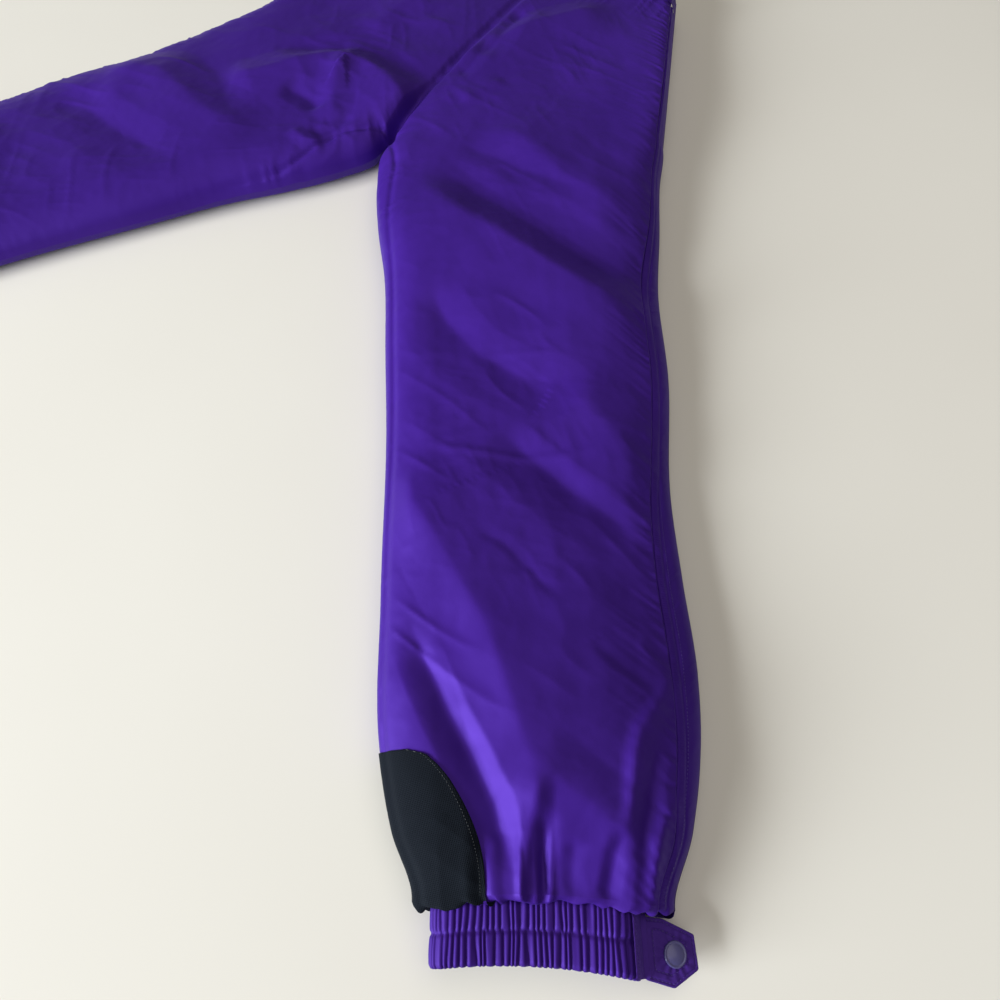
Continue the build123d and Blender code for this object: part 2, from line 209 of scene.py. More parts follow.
def line_distance(px, py, line):
    """Distance to a polyline with its sign (positive on the outer side), and how far along it is, 0 to 1."""
    best = np.full(px.shape, 1e9)
    sign = np.ones(px.shape)
    along = np.zeros(px.shape)
    line = np.array(line, float)
    steps = np.linalg.norm(np.diff(line, axis=0), axis=1)
    total, run = steps.sum(), 0.0
    for (ax, ay), (bx, by), step in zip(line[:-1], line[1:], steps):
        ex, ey = (bx - ax) / step, (by - ay) / step
        t = np.clip((px - ax) * ex + (py - ay) * ey, 0, step)
        dx, dy = px - ax - t * ex, py - ay - t * ey
        d = np.hypot(dx, dy)
        near = d < best
        best = np.where(near, d, best)
        sign = np.where(near, np.where(dx * ey - dy * ex > 0, 1.0, -1.0), sign)
        along = np.where(near, (run + t) / total, along)
        run += step
    return best * sign, along


def fold_height(out, drop, folds):
    total = np.zeros(out.shape)
    for line, inner_width, outer_width, height in folds:
        points = np.array(line, float)
        reach = 3 * max(inner_width, outer_width)
        low, high = points.min(0) - reach, points.max(0) + reach
        near = (out > low[0]) & (out < high[0]) & (drop > low[1]) & (drop < high[1])
        if not near.any():
            continue
        d, along = line_distance(out[near], drop[near], line)
        width = 1.6 * np.where(d < 0, inner_width, outer_width)
        crest = 0.16 * min(inner_width, outer_width) + 0.8
        away = (np.sqrt(d * d + crest * crest) - crest) / width
        taper = smooth(np.minimum(along, 1 - along), 0.0, 0.22)
        total[near] += height * taper * np.clip(1 - away, 0, 1) ** 1.25
    return total


# ---------------------------------------------------------------- the cloth surface


def round_edge(d, radius):
    return np.sqrt(1 - (1 - np.clip(d / radius, 0, 1)) ** 2)


def soft_edge(d, radius):
    return 0.3 * round_edge(d, 9.0) + 0.7 * np.tanh(d / radius)


padding = {}


def padding_rise(drop, share, side):
    """How far the padding pushes the front of the cloth up, from the cloth simulation."""
    if side not in padding:
        return 0.0
    at, field = padding[side]
    rows, cols = field.shape
    y = np.clip((drop - at[0]) / (at[-1] - at[0]), 0, 1) * (rows - 1)
    x = np.clip(share, 0, 1) * (cols - 1)
    i, j = np.minimum(y.astype(int), rows - 2), np.minimum(x.astype(int), cols - 2)
    fy, fx = smooth(y - i, 0, 1), smooth(x - j, 0, 1)
    upper_row = field[i, j] * (1 - fx) + field[i, j + 1] * fx
    lower_row = field[i + 1, j] * (1 - fx) + field[i + 1, j + 1] * fx
    return upper_row * (1 - fy) + lower_row * fy


def crinkles(out, drop, side):
    """Small crisp creases in a few directions, in patches."""
    total = 0.14 * noise(out / 6.5 + drop / 20, drop / 9, 31 + side)
    settings = ((38, 56, 19, 0.9, 131), (-24, 46, 16, 0.6, 137),
                (68, 30, 11, 0.3, 139), (12, 20, 8, 0.16, 149))
    for angle, long, short, height, seed in settings:
        c, s = cos(radians(angle)), sin(radians(angle))
        along, away = out * c + drop * s, drop * c - out * s
        crest = np.clip(1 - 1.6 * np.abs(noise(along / long, away / short, seed + side)), 0, 1) ** 1.6
        patch = np.clip(0.35 + 1.3 * noise(out / 70, drop / 80, seed + 3 + side), 0, 1)
        total = total + height * patch * (crest - 0.3)
    return total


def front_height(drop, across, width, out, leg_drop, side):
    """Height of the front of the cloth above what it lies on."""
    to_outer = width - across
    low_in = curve(drop, inner_edge_height)
    low_out = curve(drop, outer_edge_height)
    top = curve(drop, thickness)
    level = curve(drop, centre_level) * (drop < fork_drop)
    rise_in = level + (1 - level) * round_edge(across, 42.0)
    rise_out = soft_edge(to_outer, curve(drop, outer_rounding))
    share = np.clip(across / width, 0, 1)
    low = low_in * (1 - share) + low_out * share
    height = low + (top - low) * rise_in * rise_out

    height = height + padding_rise(drop, share, side) * smooth(across, 0, 12) * smooth(to_outer, 0, 16)

    body = smooth(across, 0, 26) * smooth(to_outer, 0, 22)
    body = np.maximum(body, (drop < fork_drop) * smooth(to_outer, 0, 22) * smooth(across, -14, 20))
    folds = fold_height(out, leg_drop, left_folds if side > 0 else right_folds)
    slack = 1.3 * noise(out / 46, leg_drop / 62, 11 + side) + 0.5 * noise(out / 19, leg_drop / 26, 23 + side)
    height = height + body * (folds + slack + crinkles(out, leg_drop, side))

    # puckers along the folded front edge, the inseam and the centre seam
    fold_at = curve(drop, fold_inset)
    from_fold = np.clip(to_outer - fold_at, 0, None)
    slant = leg_drop + 0.7 * from_fold
    reach = 9.0 + 8.0 * np.clip(noise(leg_drop / 40, leg_drop * 0 + 0.5, 43 + side) + 0.4, 0, 1)
    pucker = ripples(slant / 6.4, from_fold / 34 + 5, 41 + side)
    height += 1.0 * np.exp(-from_fold / reach) * pucker * (from_fold > 0)
    inset = left_seam_inset if side > 0 else right_seam_inset
    from_seam = across - np.where(drop < fork_drop, 0.0, curve(drop, inset))
    seam_slack = np.exp(-np.abs(from_seam) / np.where(from_seam < 0, 16.0, 11.0))
    near_fork = 0.5 + 1.6 * np.exp(-(((drop - 10) / 70.0) ** 2))
    along_seam = (drop + 0.3 * from_seam) / 9.0
    height += 0.8 * near_fork * seam_slack * ripples(along_seam, from_seam / 26, 47 + side)
    height -= 2.3 * np.exp(-((from_seam / 2.5) ** 2))

    # gathers that fan up from the cuff
    gather = smooth(drop, 560, 636) ** 1.6 * (0.25 + 0.75 * smooth(out, -50, -22))
    fan = out / 9.5 + 0.0016 * out * (drop - 640) / 9.5
    height += gather * 2.2 * ripples(fan, drop / 90, 53 + side) * body

    # gathers under the waistband, and the centre seam shared by both sides
    waist = smooth(-drop, -waist_drop - 95, -waist_drop) ** 1.5
    height += waist * 2.2 * ripples(across / 8.5, drop / 70, 57 + side) * body
    shared = low_in + (top - low_in) * level - 1.9 + 0.7 * noise(drop / 9.0, drop * 0, 59)
    at_seam = (drop < fork_drop) * (1 - smooth(across, 0, 9))
    return height * (1 - at_seam) + shared * at_seam


def back_height(drop, across, width, out, side):
    """Height of the back of the cloth, nearly all of it flat on what it lies on."""
    to_outer = width - across
    level = curve(drop, centre_level) * (drop < fork_drop)
    low_in = curve(drop, inner_edge_height) * (1 - level)
    low_out = curve(drop, outer_edge_height)
    lift_in = low_in * (1 - round_edge(across, 26.0))
    lift_out = low_out * (1 - round_edge(to_outer, 24.0))
    middle = smooth(across, 4, 30) * smooth(to_outer, 4, 30)
    slack = 1.1 + 0.9 * noise(out / 38, drop / 44, 61 + side) + 0.4 * noise(out / 14, drop / 21, 67 + side)
    gather = smooth(drop, 548, 634) ** 1.6 * 1.2 * (1 + ripples(out / 9.5, drop / 90, 71 + side))
    seam = 0.9 * np.exp(-((across / 2.0) ** 2)) * (drop < fork_drop)
    return np.maximum(lift_in + lift_out + middle * (np.clip(slack, 0, None) + gather) + seam, 0.25)


def place(at, across, side, face):
    """Points on the front or back of the cloth: one drop for each row, and a grid of distances across it."""
    inner, outer = edges(at)
    drop = np.repeat(at[:, None], across.shape[1], 1)
    width = np.linalg.norm(outer - inner, axis=1)[:, None]
    share = across / width
    xy = inner[:, None, :] * (1 - share[..., None]) + outer[:, None, :] * share[..., None]
    out, leg_drop = leg_place(xy)
    if face == "front":
        z = front_height(drop, across, width, out, leg_drop, side)
    else:
        z = back_height(drop, across, width, out, side)
    xy = xy + (smooth(leg_drop, 585, ankle_drop) * cuff_bend(out))[..., None] * down
    return np.dstack((xy, z))


def cuff_bend(out):
    """How far the ankle edge lies down the leg, following the curve of the elastic cuff."""
    return 6.0 * (out / 80.0) ** 2 + 0.8 * out / 80.0 - 4.0


def widths(drop):
    inner, outer = edges(drop)
    return np.linalg.norm(outer - inner, axis=1)


# ---------------------------------------------------------------- meshes


def mirrored(points, side):
    return points * np.array((side, 1, 1))


def grid_normals(p):
    du = np.gradient(p, axis=0)
    dv = np.gradient(p, axis=1)
    n = np.cross(dv, du)
    return n / np.maximum(np.linalg.norm(n, axis=2, keepdims=True), 1e-9)


def grid_faces(rows, cols, flip, wrap=False):
    index = np.arange(rows * cols).reshape(rows, cols)
    if wrap:
        index = np.hstack((index, index[:, :1]))
    a, b, c, d = index[:-1, :-1], index[1:, :-1], index[1:, 1:], index[:-1, 1:]
    quads = np.stack((a, b, c, d) if flip else (a, d, c, b), axis=-1)
    return quads.reshape(-1, 4)


def make_mesh(name, vertices, faces, material, normals=None):
    """A mesh object from millimetre points, shaded smooth."""
    mesh = bpy.data.meshes.new(name)
    mesh.from_pydata((np.asarray(vertices) * MM).tolist(), [], [list(map(int, f)) for f in faces])
    mesh.polygons.foreach_set("use_smooth", np.ones(len(mesh.polygons), bool))
    mesh.materials.append(material)
    if normals is not None:
        mesh.normals_split_custom_set_from_vertices(np.asarray(normals).reshape(-1, 3).tolist())
    obj = bpy.data.objects.new(name, mesh)
    bpy.context.scene.collection.objects.link(obj)
    return obj


def sheet_piece(name, points, side, material, up=True, rows=slice(None)):
    """One sheet of cloth from a grid of points, mirrored to its side and facing up or down."""
    points = mirrored(points, side)
    normals = grid_normals(points)
    facing = normals[..., 2].mean() > 0
    if facing != up:
        normals = -normals
    part, normals = points[rows], normals[rows]
    r, c = part.shape[:2]
    turn = np.cross(part[1:, :-1] - part[:-1, :-1], part[1:, 1:] - part[:-1, :-1])
    flip = (turn * normals[:-1, :-1]).sum() > 0
    return make_mesh(name, part.reshape(-1, 3), grid_faces(r, c, flip), material, normals)


# ---------------------------------------------------------------- materials


def new_material(name, colour, roughness, **sockets):
    material = bpy.data.materials.new(name)
    material.use_nodes = True
    shader = material.node_tree.nodes["Principled BSDF"]
    shader.inputs["Base Color"].default_value = (*colour, 1)
    shader.inputs["Roughness"].default_value = roughness
    for key, value in sockets.items():
        shader.inputs[key.replace("_", " ")].default_value = value
    return material, material.node_tree, shader


def link(tree, a, b):
    tree.links.new(a, b)


def object_noise(tree, scale, detail=3.0, stretch=(1, 1, 1)):
    place_node = tree.nodes.new("ShaderNodeTexCoord")
    mapping = tree.nodes.new("ShaderNodeMapping")
    mapping.inputs["Scale"].default_value = stretch
    texture = tree.nodes.new("ShaderNodeTexNoise")
    texture.inputs["Scale"].default_value = scale
    texture.inputs["Detail"].default_value = detail
    link(tree, place_node.outputs["Object"], mapping.inputs["Vector"])
    link(tree, mapping.outputs["Vector"], texture.inputs["Vector"])
    return texture


def weave(tree, pitch, angle=0.0):
    """Height of a plain weave: two sets of threads crossing, a given pitch in metres."""
    place_node = tree.nodes.new("ShaderNodeTexCoord")
    mapping = tree.nodes.new("ShaderNodeMapping")
    mapping.inputs["Rotation"].default_value = (0, 0, angle)
    link(tree, place_node.outputs["Object"], mapping.inputs["Vector"])
    threads = []
    for direction in ("X", "Y"):
        wave = tree.nodes.new("ShaderNodeTexWave")
        wave.bands_direction = direction
        wave.inputs["Scale"].default_value = 0.314 / pitch
        wave.inputs["Distortion"].default_value = 0.4
        link(tree, mapping.outputs["Vector"], wave.inputs["Vector"])
        threads.append(wave)
    top = tree.nodes.new("ShaderNodeMath")
    top.operation = "MAXIMUM"
    link(tree, threads[0].outputs["Fac"], top.inputs[0])
    link(tree, threads[1].outputs["Fac"], top.inputs[1])
    return top.outputs[0]


def bump(tree, height, strength, distance, onto=None):
    node = tree.nodes.new("ShaderNodeBump")
    node.inputs["Strength"].default_value = strength
    node.inputs["Distance"].default_value = distance
    link(tree, height, node.inputs["Height"])
    if onto is not None:
        link(tree, onto, node.inputs["Normal"])
    return node.outputs["Normal"]


def ramp(tree, value, stops):
    node = tree.nodes.new("ShaderNodeValToRGB")
    for k, (at, colour) in enumerate(stops):
        element = node.color_ramp.elements[k] if k < 2 else node.color_ramp.elements.new(at)
        element.position = at
        element.color = (*colour, 1)
    link(tree, value, node.inputs["Fac"])
    return node.outputs["Color"]


def uneven_gloss(tree, shader, texture, low, high):
    spread = tree.nodes.new("ShaderNodeMapRange")
    spread.inputs["To Min"].default_value = low
    spread.inputs["To Max"].default_value = high
    link(tree, texture.outputs["Fac"], spread.inputs["Value"])
    link(tree, spread.outputs["Result"], shader.inputs["Roughness"])


def patchy_colour(tree, shader, texture, dark, light):
    link(tree, ramp(tree, texture.outputs["Fac"], ((0.3, dark), (0.7, light))), shader.inputs["Base Color"])


def nylon(name, dark, light, roughness):
    """Shiny tightly woven nylon, slightly uneven in colour and gloss."""
    material, tree, shader = new_material(
        name, light, roughness, Metallic=0.22, Specular_IOR_Level=0.32, Sheen_Weight=0.05, Sheen_Roughness=0.4
    )
    shader.inputs["Sheen Tint"].default_value = (0.42, 0.3, 1.0, 1)
    shader.inputs["Specular Tint"].default_value = (0.5, 0.34, 1.0, 1)
    patchy_colour(tree, shader, object_noise(tree, 9.0, 4.0), dark, light)
    uneven_gloss(tree, shader, object_noise(tree, 30.0, 3.0), roughness - 0.05, roughness + 0.07)
    crinkle = object_noise(tree, 75.0, 5.0, (1.0, 1.0, 0.5))
    first = bump(tree, crinkle.outputs["Fac"], 0.2, 0.0012)
    second = bump(tree, weave(tree, 0.0007), 0.25, 0.0001, first)
    link(tree, second, shader.inputs["Normal"])
    return material


shell_cloth = nylon("shell_nylon", (0.037, 0.0088, 0.19), (0.046, 0.0112, 0.23), 0.53)
cuff_cloth = nylon("cuff_nylon", (0.034, 0.0085, 0.165), (0.042, 0.011, 0.2), 0.56)
tab_cloth = nylon("tab_nylon", (0.055, 0.019, 0.215), (0.066, 0.024, 0.25), 0.58)


def coarse_nylon():
    """Black coated nylon with a visible basket weave."""
    material, tree, shader = new_material(
        "scuff_guard_cloth", (0.004, 0.006, 0.009), 0.8, Specular_IOR_Level=0.06, Sheen_Weight=0.0
    )
    threads = weave(tree, 0.0011, radians(45))
    colour = ramp(tree, threads, ((0.2, (0.002, 0.003, 0.005)), (0.9, (0.008, 0.011, 0.017))))
    link(tree, colour, shader.inputs["Base Color"])
    worn = object_noise(tree, 40.0, 5.0)
    first = bump(tree, threads, 0.7, 0.0004)
    link(tree, bump(tree, worn.outputs["Fac"], 0.2, 0.001, first), shader.inputs["Normal"])
    return material


def plain_cloth(name, dark, light, roughness, pitch):
    material, tree, shader = new_material(name, light, roughness, Sheen_Weight=0.2)
    patches = object_noise(tree, 25.0, 5.0)
    patchy_colour(tree, shader, patches, dark, light)
    first = bump(tree, patches.outputs["Fac"], 0.3, 0.001)
    link(tree, bump(tree, weave(tree, pitch), 0.5, 0.0002, first), shader.inputs["Normal"])
    return material


def hard_finish(name, colour, roughness, metallic=0.0, coat=0.0):
    material, tree, shader = new_material(name, colour, roughness, Metallic=metallic, Coat_Weight=coat)
    marks = object_noise(tree, 420.0, 6.0)
    uneven_gloss(tree, shader, marks, roughness * 0.8, roughness * 1.35)
    link(tree, bump(tree, marks.outputs["Fac"], 0.08, 0.0002), shader.inputs["Normal"])
    return material


guard_cloth = coarse_nylon()
lining_cloth = plain_cloth("lining_taffeta", (0.03, 0.012, 0.13), (0.045, 0.018, 0.18), 0.5, 0.0008)
wadding_cloth = plain_cloth("wadding_fibre", (0.62, 0.62, 0.6), (0.8, 0.8, 0.78), 0.95, 0.002)
elastic_cloth = plain_cloth("elastic_braid", (0.6, 0.59, 0.55), (0.72, 0.71, 0.67), 0.8, 0.0012)
tape_cloth = plain_cloth("zip_tape", (0.02, 0.007, 0.09), (0.03, 0.01, 0.12), 0.7, 0.0007)
guard_thread = plain_cloth("guard_thread", (0.012, 0.016, 0.018), (0.02, 0.026, 0.03), 0.6, 0.0005)
thread = plain_cloth("stitch_thread", (0.05, 0.016, 0.24), (0.065, 0.022, 0.3), 0.55, 0.0005)
slider_finish = hard_finish("slider_enamel", (0.035, 0.012, 0.14), 0.32, coat=0.5)
snap_finish = hard_finish("snap_plastic", (0.085, 0.078, 0.23), 0.34, coat=0.3)
steel_finish = hard_finish("nickel_plate", (0.55, 0.54, 0.53), 0.28, metallic=1.0)


# ---------------------------------------------------------------- cloth simulation of the padding


most_lift = 4.0                    # the simulated rise is held under this
lift_scale = 30.0
last_frame = 20


def simulate_padding(side):
    """Blow up a coarse tube of cloth the shape of one side and note how far its front rises.

    The rise is pressed down to most_lift, and fades out above the crotch to clear the zip slider's path."""
    at = np.linspace(waist_drop, ankle_drop, 74)
    columns = 17
    across = widths(at)[:, None] * np.linspace(0, 1, columns)[None, :]
    front, back = place(at, across, side, "front"), place(at, across, side, "back")
    ring = np.concatenate((front, back[:, -2:0:-1]), axis=1)
    rows, around = ring.shape[:2]
    faces = grid_faces(rows, around, True, wrap=True)
    tube = make_mesh(f"padding_{side}", ring.reshape(-1, 3), faces, shell_cloth)
    held = tube.vertex_groups.new(name="held")
    index = np.arange(rows * around).reshape(rows, around)
    fixed = set(index[0]) | set(index[-1]) | set(index[at < fork_drop, 0])
    fixed |= set(index[:, 0]) | set(index[:, columns - 1]) | set(index[:, columns:].ravel())
    held.add([int(k) for k in fixed], 1.0, "REPLACE")
    cloth = tube.modifiers.new("cloth", "CLOTH")
    settings = cloth.settings
    settings.quality = 6
    settings.mass = 0.25
    settings.air_damping = 4
    settings.tension_stiffness = settings.compression_stiffness = 18
    settings.shear_stiffness = 6
    settings.bending_stiffness = 0.6
    settings.use_pressure = True
    settings.uniform_pressure_force = 4
    settings.effector_weights.gravity = 0
    settings.vertex_group_mass = "held"
    cloth.collision_settings.use_collision = False
    cloth.point_cache.frame_start, cloth.point_cache.frame_end = 1, last_frame
    for number in range(1, last_frame + 1):
        bpy.context.scene.frame_set(number)
    shaped = tube.evaluated_get(bpy.context.evaluated_depsgraph_get())
    moved = np.array([v.co for v in shaped.data.vertices]).reshape(rows, around, 3) / MM
    lift = (moved - ring)[:, :columns, 2]
    wide = np.pad(lift, 1, mode="edge")
    lift = sum(wide[i:i + rows, j:j + columns] for i in range(3) for j in range(3)) / 9
    bpy.data.objects.remove(tube)
    bpy.context.scene.frame_set(1)
    fade = smooth(at, fork_drop - 60, fork_drop + 60)[:, None]
    return at, most_lift * np.tanh(lift / lift_scale) * fade


padding = {side: simulate_padding(side) for side in (1, -1)}

# ---------------------------------------------------------------- shell, wadding and lining

row_step = 2.5
drops = np.unique(np.concatenate((
    np.linspace(waist_drop - 9, fork_drop, 124),
    np.arange(fork_drop, ankle_drop, row_step)[1:],
    np.array((split_drop, ankle_drop)),
)))


def halves(at):
    """The rows of a leg's upper and lower pieces, which share the row at the split."""
    cut = int(np.searchsorted(at, split_drop))
    return ("upper", slice(0, cut + 1)), ("lower", slice(cut, None))


def tuck_rows(points, depth, outward_bulge):
    """Add rows that roll over the top of the cuff and turn in under the bloused edge."""
    last, before = points[-1], points[-4]
    along = last - before
    along /= np.maximum(np.linalg.norm(along, axis=1, keepdims=True), 1e-9)
    centre = np.append(on_leg(np.array([4.0]), np.array([ankle_drop]))[0], 17.0)
    inward = centre - last
    inward -= (inward @ down3)[:, None] * down3
    inward /= np.maximum(np.linalg.norm(inward, axis=1, keepdims=True), 1e-9)
    rows = []
    waves = ripples(np.arange(len(last)) / 6.0, np.zeros(len(last)), 83)
    bulge = outward_bulge * (1 + 0.45 * waves)[:, None]
    for angle in np.linspace(0.25, 1.0, 7) * pi:
        rows.append(last + down3 * bulge * sin(angle) + inward * depth * (1 - cos(angle)) / 2)
    rows = np.array(rows)
    rows[..., 2] = np.maximum(rows[..., 2], 0.25)
    return np.concatenate((points, rows))


def front_columns(drop, count):
    """Distances across the front panel, from the inner edge to the folded edge."""
    span = widths(drop) - curve(drop, fold_inset)
    t = np.linspace(0, 1, count)
    t = 0.35 * t * t + 0.65 * t
    return span[:, None] * t[None, :]


def front_panel(side):
    """Front panel with its outer edge folded under over the side placket."""
    across = front_columns(drops, 104)
    panel = place(drops, across, side, "front")
    lift = curve(drops, placket_lift)
    near = smooth(across - across[:, -1:] + 24, 0, 24)
    panel[..., 2] += lift[:, None] * near
    edge = panel[:, -1]
    step = edge - panel[:, -3]
    step[:, 2] = 0
    step /= np.linalg.norm(step, axis=1, keepdims=True)
    curl = []
    for ahead, fall in ((0.6, 0.3), (0.95, 1.0), (0.9, 1.9), (0.2, 2.7), (-3.0, 2.9)):
        row = edge + step * ahead
        row[:, 2] -= fall
        curl.append(row)
    return np.concatenate((panel, np.stack(curl, 1)), axis=1)


def back_panel(side):
    """Back panel, running round the outer edge at the placket's border."""
    width = widths(drops)
    t = np.linspace(0, 1, 66)
    t = 0.5 - 0.5 * np.cos(pi * t) * 0.55 - 0.5 * (1 - 2 * t) * 0.45
    across = width[:, None] * t[None, :]
    panel = place(drops, across, side, "back")
    front = place(drops, np.zeros((len(drops), 1)), side, "front")
    joined = drops >= fork_drop
    panel[joined, 0, 2] = front[joined, 0, 2]
    tip = place(drops, width[:, None], side, "front")
    panel[:, -1, 2] = tip[:, 0, 2]
    return panel


rib_pitch = 1.9
placket_drops = np.arange(waist_drop + 1.0, ankle_drop, rib_pitch / 3)


def placket_strip(side):
    """Side placket: ribbed over the zip coil, a stitch line, then a flat strip to the outer edge."""
    width = widths(placket_drops)
    inset = curve(placket_drops, fold_inset)
    start = width - inset - 3.2
    t = np.linspace(0, 1, 30)
    across = start[:, None] + (width - start)[:, None] * t[None, :]
    strip = place(placket_drops, across, side, "front")
    drop = placket_drops[:, None]
    into = across - (width - inset)[:, None]
    share = np.clip(1 - into / inset[:, None], 0, 1)
    band = np.minimum(8.5, 0.5 * inset)[:, None]
    strip[..., 2] += curve(placket_drops, placket_lift)[:, None] * smooth(share, 0, 0.35)
    strip[..., 2] -= 1.6 + 1.8 * np.exp(-((np.clip(into, 0, None) / 1.9) ** 2))
    ribs = 0.5 + 0.5 * np.cos(2 * pi * drop / rib_pitch)
    on_band = smooth(into, 0.8, 2.0) * (1 - smooth(into, band - 1.6, band - 0.4))
    worn = 0.65 + 0.35 * noise(drop / 14.0, into * 0 + 3.0, 91 + side)
    strip[..., 2] += on_band * (0.35 + 0.6 * ribs * worn)
    strip[..., 2] -= 0.7 * np.exp(-(((into - band - 0.3) / 0.7) ** 2))
    slack = ripples(drop / 8.0 + into / 9.0, into / 18.0, 97 + side)
    strip[..., 2] += 0.5 * slack * smooth(into, band, band + 4) * smooth(share, 0.0, 0.3)
    return strip


def blend_leg(piece):
    """Bake a piece's placement into its mesh points."""
    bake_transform(piece)


def lowest_near(z):
    """The lowest value in and around each cell of a grid."""
    wide = np.pad(z, 1, mode="edge")
    near = [wide[i:i + z.shape[0], j:j + z.shape[1]] for i in range(3) for j in range(3)]
    return np.min(near, axis=0)


def inner_layer(side, inset, count):
    """Wadding or lining: front and back in one tube, a given distance inside the shell."""
    coarse = drops[::3]
    if coarse[-1] != drops[-1]:
        coarse = np.append(coarse, drops[-1])
    width = widths(coarse)
    t = 0.5 - 0.5 * np.cos(pi * np.linspace(0, 1, count))
    across = inset + (width[:, None] - 2 * inset) * t[None, :]
    front, back = place(coarse, across, side, "front"), place(coarse, across, side, "back")
    front[..., 2] = lowest_near(front[..., 2]) - inset
    back[..., 2] = -lowest_near(-back[..., 2]) + inset
    middle = (front[..., 2] + back[..., 2]) / 2
    front[..., 2] = np.maximum(front[..., 2], middle + 0.4)
    back[..., 2] = np.minimum(back[..., 2], middle - 0.4)
    return coarse, front, back


def make_shell():
    """Outer panels, wadding and lining of both sides."""
    for hand, side in (("left", 1), ("right", -1)):
        front, back, strip = front_panel(side), back_panel(side), placket_strip(side)
        front = tuck_rows(front, 9.0, 4.0)
        back = tuck_rows(back, 9.0, 4.0)
        strip = tuck_rows(strip, 7.0, 3.0)
        parts = (
            ("front_panel", front, True, drops),
            ("back_panel", back, False, drops),
            ("side_placket", strip, True, placket_drops),
        )
        for name, points, up, at in parts:
            for half, rows in halves(at):
                piece = sheet_piece(f"{hand}_{name}_{half}", points, side, shell_cloth, up, rows)
                nodes = ("hip", "thigh") if half == "upper" else ("shin",)
                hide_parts(*(f"{hand}_{name}_{node}" for node in nodes))
                blend_leg(piece)
        for layer, inset, material in (("wadding", 3.0, wadding_cloth), ("lining", 7.0, lining_cloth)):
            coarse, top, bottom = inner_layer(side, inset, 36)
            tube = np.concatenate((top, bottom[:, ::-1]), axis=1)
            for half, rows in halves(coarse):
                ring = mirrored(tube[rows], side)
                r, c = ring.shape[:2]
                piece = make_mesh(f"{hand}_{layer}_{half}", ring.reshape(-1, 3),
                                  grid_faces(r, c, side > 0, wrap=False), material)
                if half == "upper":
                    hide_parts(f"hip_{layer}", f"{hand}_thigh_{layer}")
                else:
                    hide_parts(f"{hand}_shin_{layer}")
                blend_leg(piece)
        make_zip_chain(hand, side)
        stitch_rows(f"{hand}_placket_stitches", strip[::4, 15], placket_drops[::4], side)


def make_zip_chain(hand, side):
    """Zip tapes and coil lying under the ribbed band of the placket."""
    at = np.arange(waist_drop + 6.0, ankle_drop - 4.0, 0.95)
    width, inset = widths(at), curve(at, fold_inset)
    t = np.linspace(-1, 1, 13)
    across = (width - inset + 3.0)[:, None] + 5.0 * t[None, :]
    chain = place(at, np.minimum(across, width[:, None]), side, "front")
    into = across - (width - inset)[:, None]
    share = np.clip(1 - into / inset[:, None], 0, 1)
    chain[..., 2] += curve(at, placket_lift)[:, None] * smooth(share, 0, 0.35) - 3.2
    on_coil = np.where(np.abs(t) < 0.3, 0.9, 0.0)[None, :]
    chain[..., 2] += on_coil * (0.5 + 0.5 * np.cos(2 * pi * at[:, None] / rib_pitch))
    for half, rows in halves(at):
        piece = sheet_piece(f"{hand}_zip_chain_{half}", chain, side, tape_cloth, True, rows)
        nodes = ("hip", "thigh") if half == "upper" else ("shin",)
        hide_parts(*(f"{hand}_side_zip_{node}" for node in nodes))
        blend_leg(piece)


# ---------------------------------------------------------------- stitching


def stitch_mesh(name, starts, ends, material, radius=0.26, lift=0.12):
    """Short thread segments, each a thin spindle from its start to its end."""
    starts, ends = np.asarray(starts, float), np.asarray(ends, float)
    along = ends - starts
    along /= np.maximum(np.linalg.norm(along, axis=1, keepdims=True), 1e-9)
    across = np.cross(along, (0, 0, 1.0))
    across /= np.maximum(np.linalg.norm(across, axis=1, keepdims=True), 1e-9)
    over = np.cross(across, along)
    middle = (starts + ends) / 2 + over * lift
    belly = [middle + radius * (across * cos(a) + over * sin(a)) for a in (0, 1.57, 3.14, 4.71)]
    points = np.stack([starts, ends] + belly, 1).reshape(-1, 3)
    faces = []
    for k in range(len(starts)):
        b = 6 * k
        for i in range(4):
            p, q = b + 2 + i, b + 2 + (i + 1) % 4
            faces += [(b, q, p), (b + 1, p, q)]
    return make_mesh(name, points, faces, material)


def stitch_rows(name, line, at, side):
    """Topstitching down a leg along a column of cloth points, cut where the cloth is."""
    line = mirrored(line, side)
    line = line[: len(at)]
    for half in ("upper", "lower"):
        keep = (at[:-1] < split_drop) if half == "upper" else (at[:-1] >= split_drop)
        a, b = line[:-1][keep], line[1:][keep]
        piece = stitch_mesh(f"{name}_{half}", a * 0.86 + b * 0.14, a * 0.14 + b * 0.86, thread)
        blend_leg(piece)


make_shell()


# ---------------------------------------------------------------- scuff guards

guard_top = 551.0
guard_border = ((551, -79), (553, -70), (558, -61.5), (565, -54), (580, -43), (600, -33), (622, -27.5),
                (641, -26.5))


